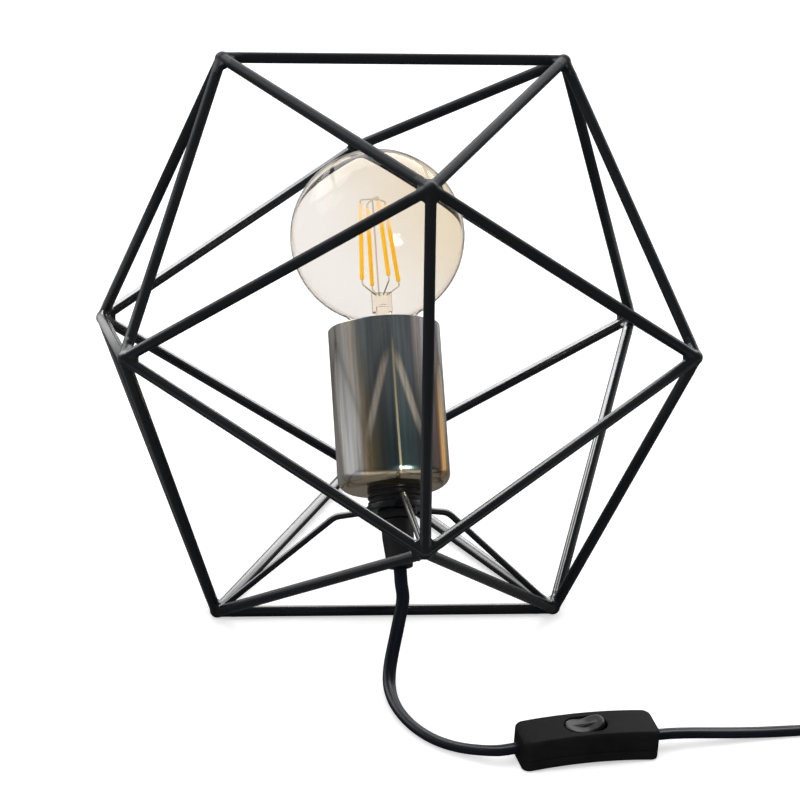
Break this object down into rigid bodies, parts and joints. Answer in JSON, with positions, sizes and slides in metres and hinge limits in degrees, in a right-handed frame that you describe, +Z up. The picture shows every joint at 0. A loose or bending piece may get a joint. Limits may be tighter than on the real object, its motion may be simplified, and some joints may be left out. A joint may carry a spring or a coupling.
{
  "type": "table lamp",
  "caption": "Wire table lamp: a welded cage of triangles around a globe lamp in a metal cup holder on a three-legged bracket, with a flat flex, a rocker switch in the flex and a plug.",
  "frame": {"origin": "on the table, under the middle of the wire cage", "axes": "+Z up, +Y towards the open side of the cage that the lamp goes in by, -Y towards the low front corner, +X to the right as seen from the front"},
  "size_m": [0.4246, 0.325, 0.2418],
  "materials": {
    "cage_black": "gloss",
    "fittings_black": "satin",
    "tube_steel": "satin",
    "grip_black": "matte",
    "screw_black": "satin",
    "cup_nickel": "polished",
    "socket_black": "satin",
    "contact_brass": "satin",
    "small_steel": "satin",
    "flex_black": "matte",
    "core_sheath": "matte",
    "lamp_glass": "clear",
    "cap_metal": "satin",
    "insulator_dark": "gloss",
    "filament_yellow": "matte",
    "tie_black": "matte",
    "plug_black": "satin",
    "pin_metal": "polished",
    "switch_black": "satin",
    "plunger_white": "matte"
  },
  "bodies": {
    "lamp": {"base_rods": "cage_black", "lower_rods": "cage_black", "side_rods": "cage_black", "waist_rods": "cage_black", "upright_rods": "cage_black", "upper_rods": "cage_black", "top_rods": "cage_black", "corner_welds": "cage_black", "bracket_ring": "cage_black", "bracket_leg_front": "cage_black", "bracket_leg_left": "cage_black", "bracket_leg_right": "cage_black", "ring_welds": "cage_black", "spacer_collar": "fittings_black", "lock_nut": "fittings_black", "threaded_tube": "tube_steel", "cord_grip": "grip_black", "clamp_screw": "screw_black", "holder_cup": "cup_nickel", "socket_base": "socket_black", "socket_sleeve": "socket_black", "screw_shell": "contact_brass", "centre_contact": "contact_brass", "socket_terminals": "contact_brass", "socket_screws": "small_steel", "holder_lead": "flex_black", "holder_cores": "core_sheath", "lamp_cord": "flex_black", "supply_cord": "flex_black", "cord_coil": "flex_black", "plug_cord": "flex_black", "coil_tie": "tie_black", "plug_body": "plug_black", "plug_pins": "pin_metal", "pin_sleeves": "plug_black", "switch_base": "switch_black", "switch_cover": "switch_black", "contact_posts": "contact_brass", "switch_terminals": "contact_brass", "switch_cores": "core_sheath", "switch_screws": "screw_black", "cord_clamps": "switch_black"},
    "bulb": {"bulb_glass": "lamp_glass", "bulb_cap": "cap_metal", "cap_insulator": "insulator_dark", "tip_contact": "contact_brass", "glass_stem": "lamp_glass", "light_filaments": "filament_yellow", "filament_wires": "small_steel"},
    "rocker": {"rocker": "switch_black", "rocker_pin": "small_steel", "plunger": "plunger_white", "plunger_spring": "small_steel"},
    "seesaw": {"contact_seesaw": "contact_brass"}
  },
  "joints": [
    {"name": "bulb_removal", "type": "slide", "parent": "lamp", "child": "bulb", "axis": [-0.0349, 0.6663, 0.7449], "range_m": [0, 0.035]},
    {"name": "switch_rocker", "type": "hinge", "parent": "lamp", "child": "rocker", "pos_m": [0.07341, -0.16274, 0.0128], "axis": [-0.1392, 0.9903, 0], "range_deg": [0, 16]},
    {"name": "seesaw_pivot", "type": "hinge", "parent": "lamp", "child": "seesaw", "pos_m": [0.07341, -0.16274, 0.0052], "axis": [-0.1392, 0.9903, 0], "range_deg": [-12, 0]}
  ],
  "couplings": [
    {"joint": "seesaw_pivot", "follows": "switch_rocker", "ratio": -0.75}
  ]
}
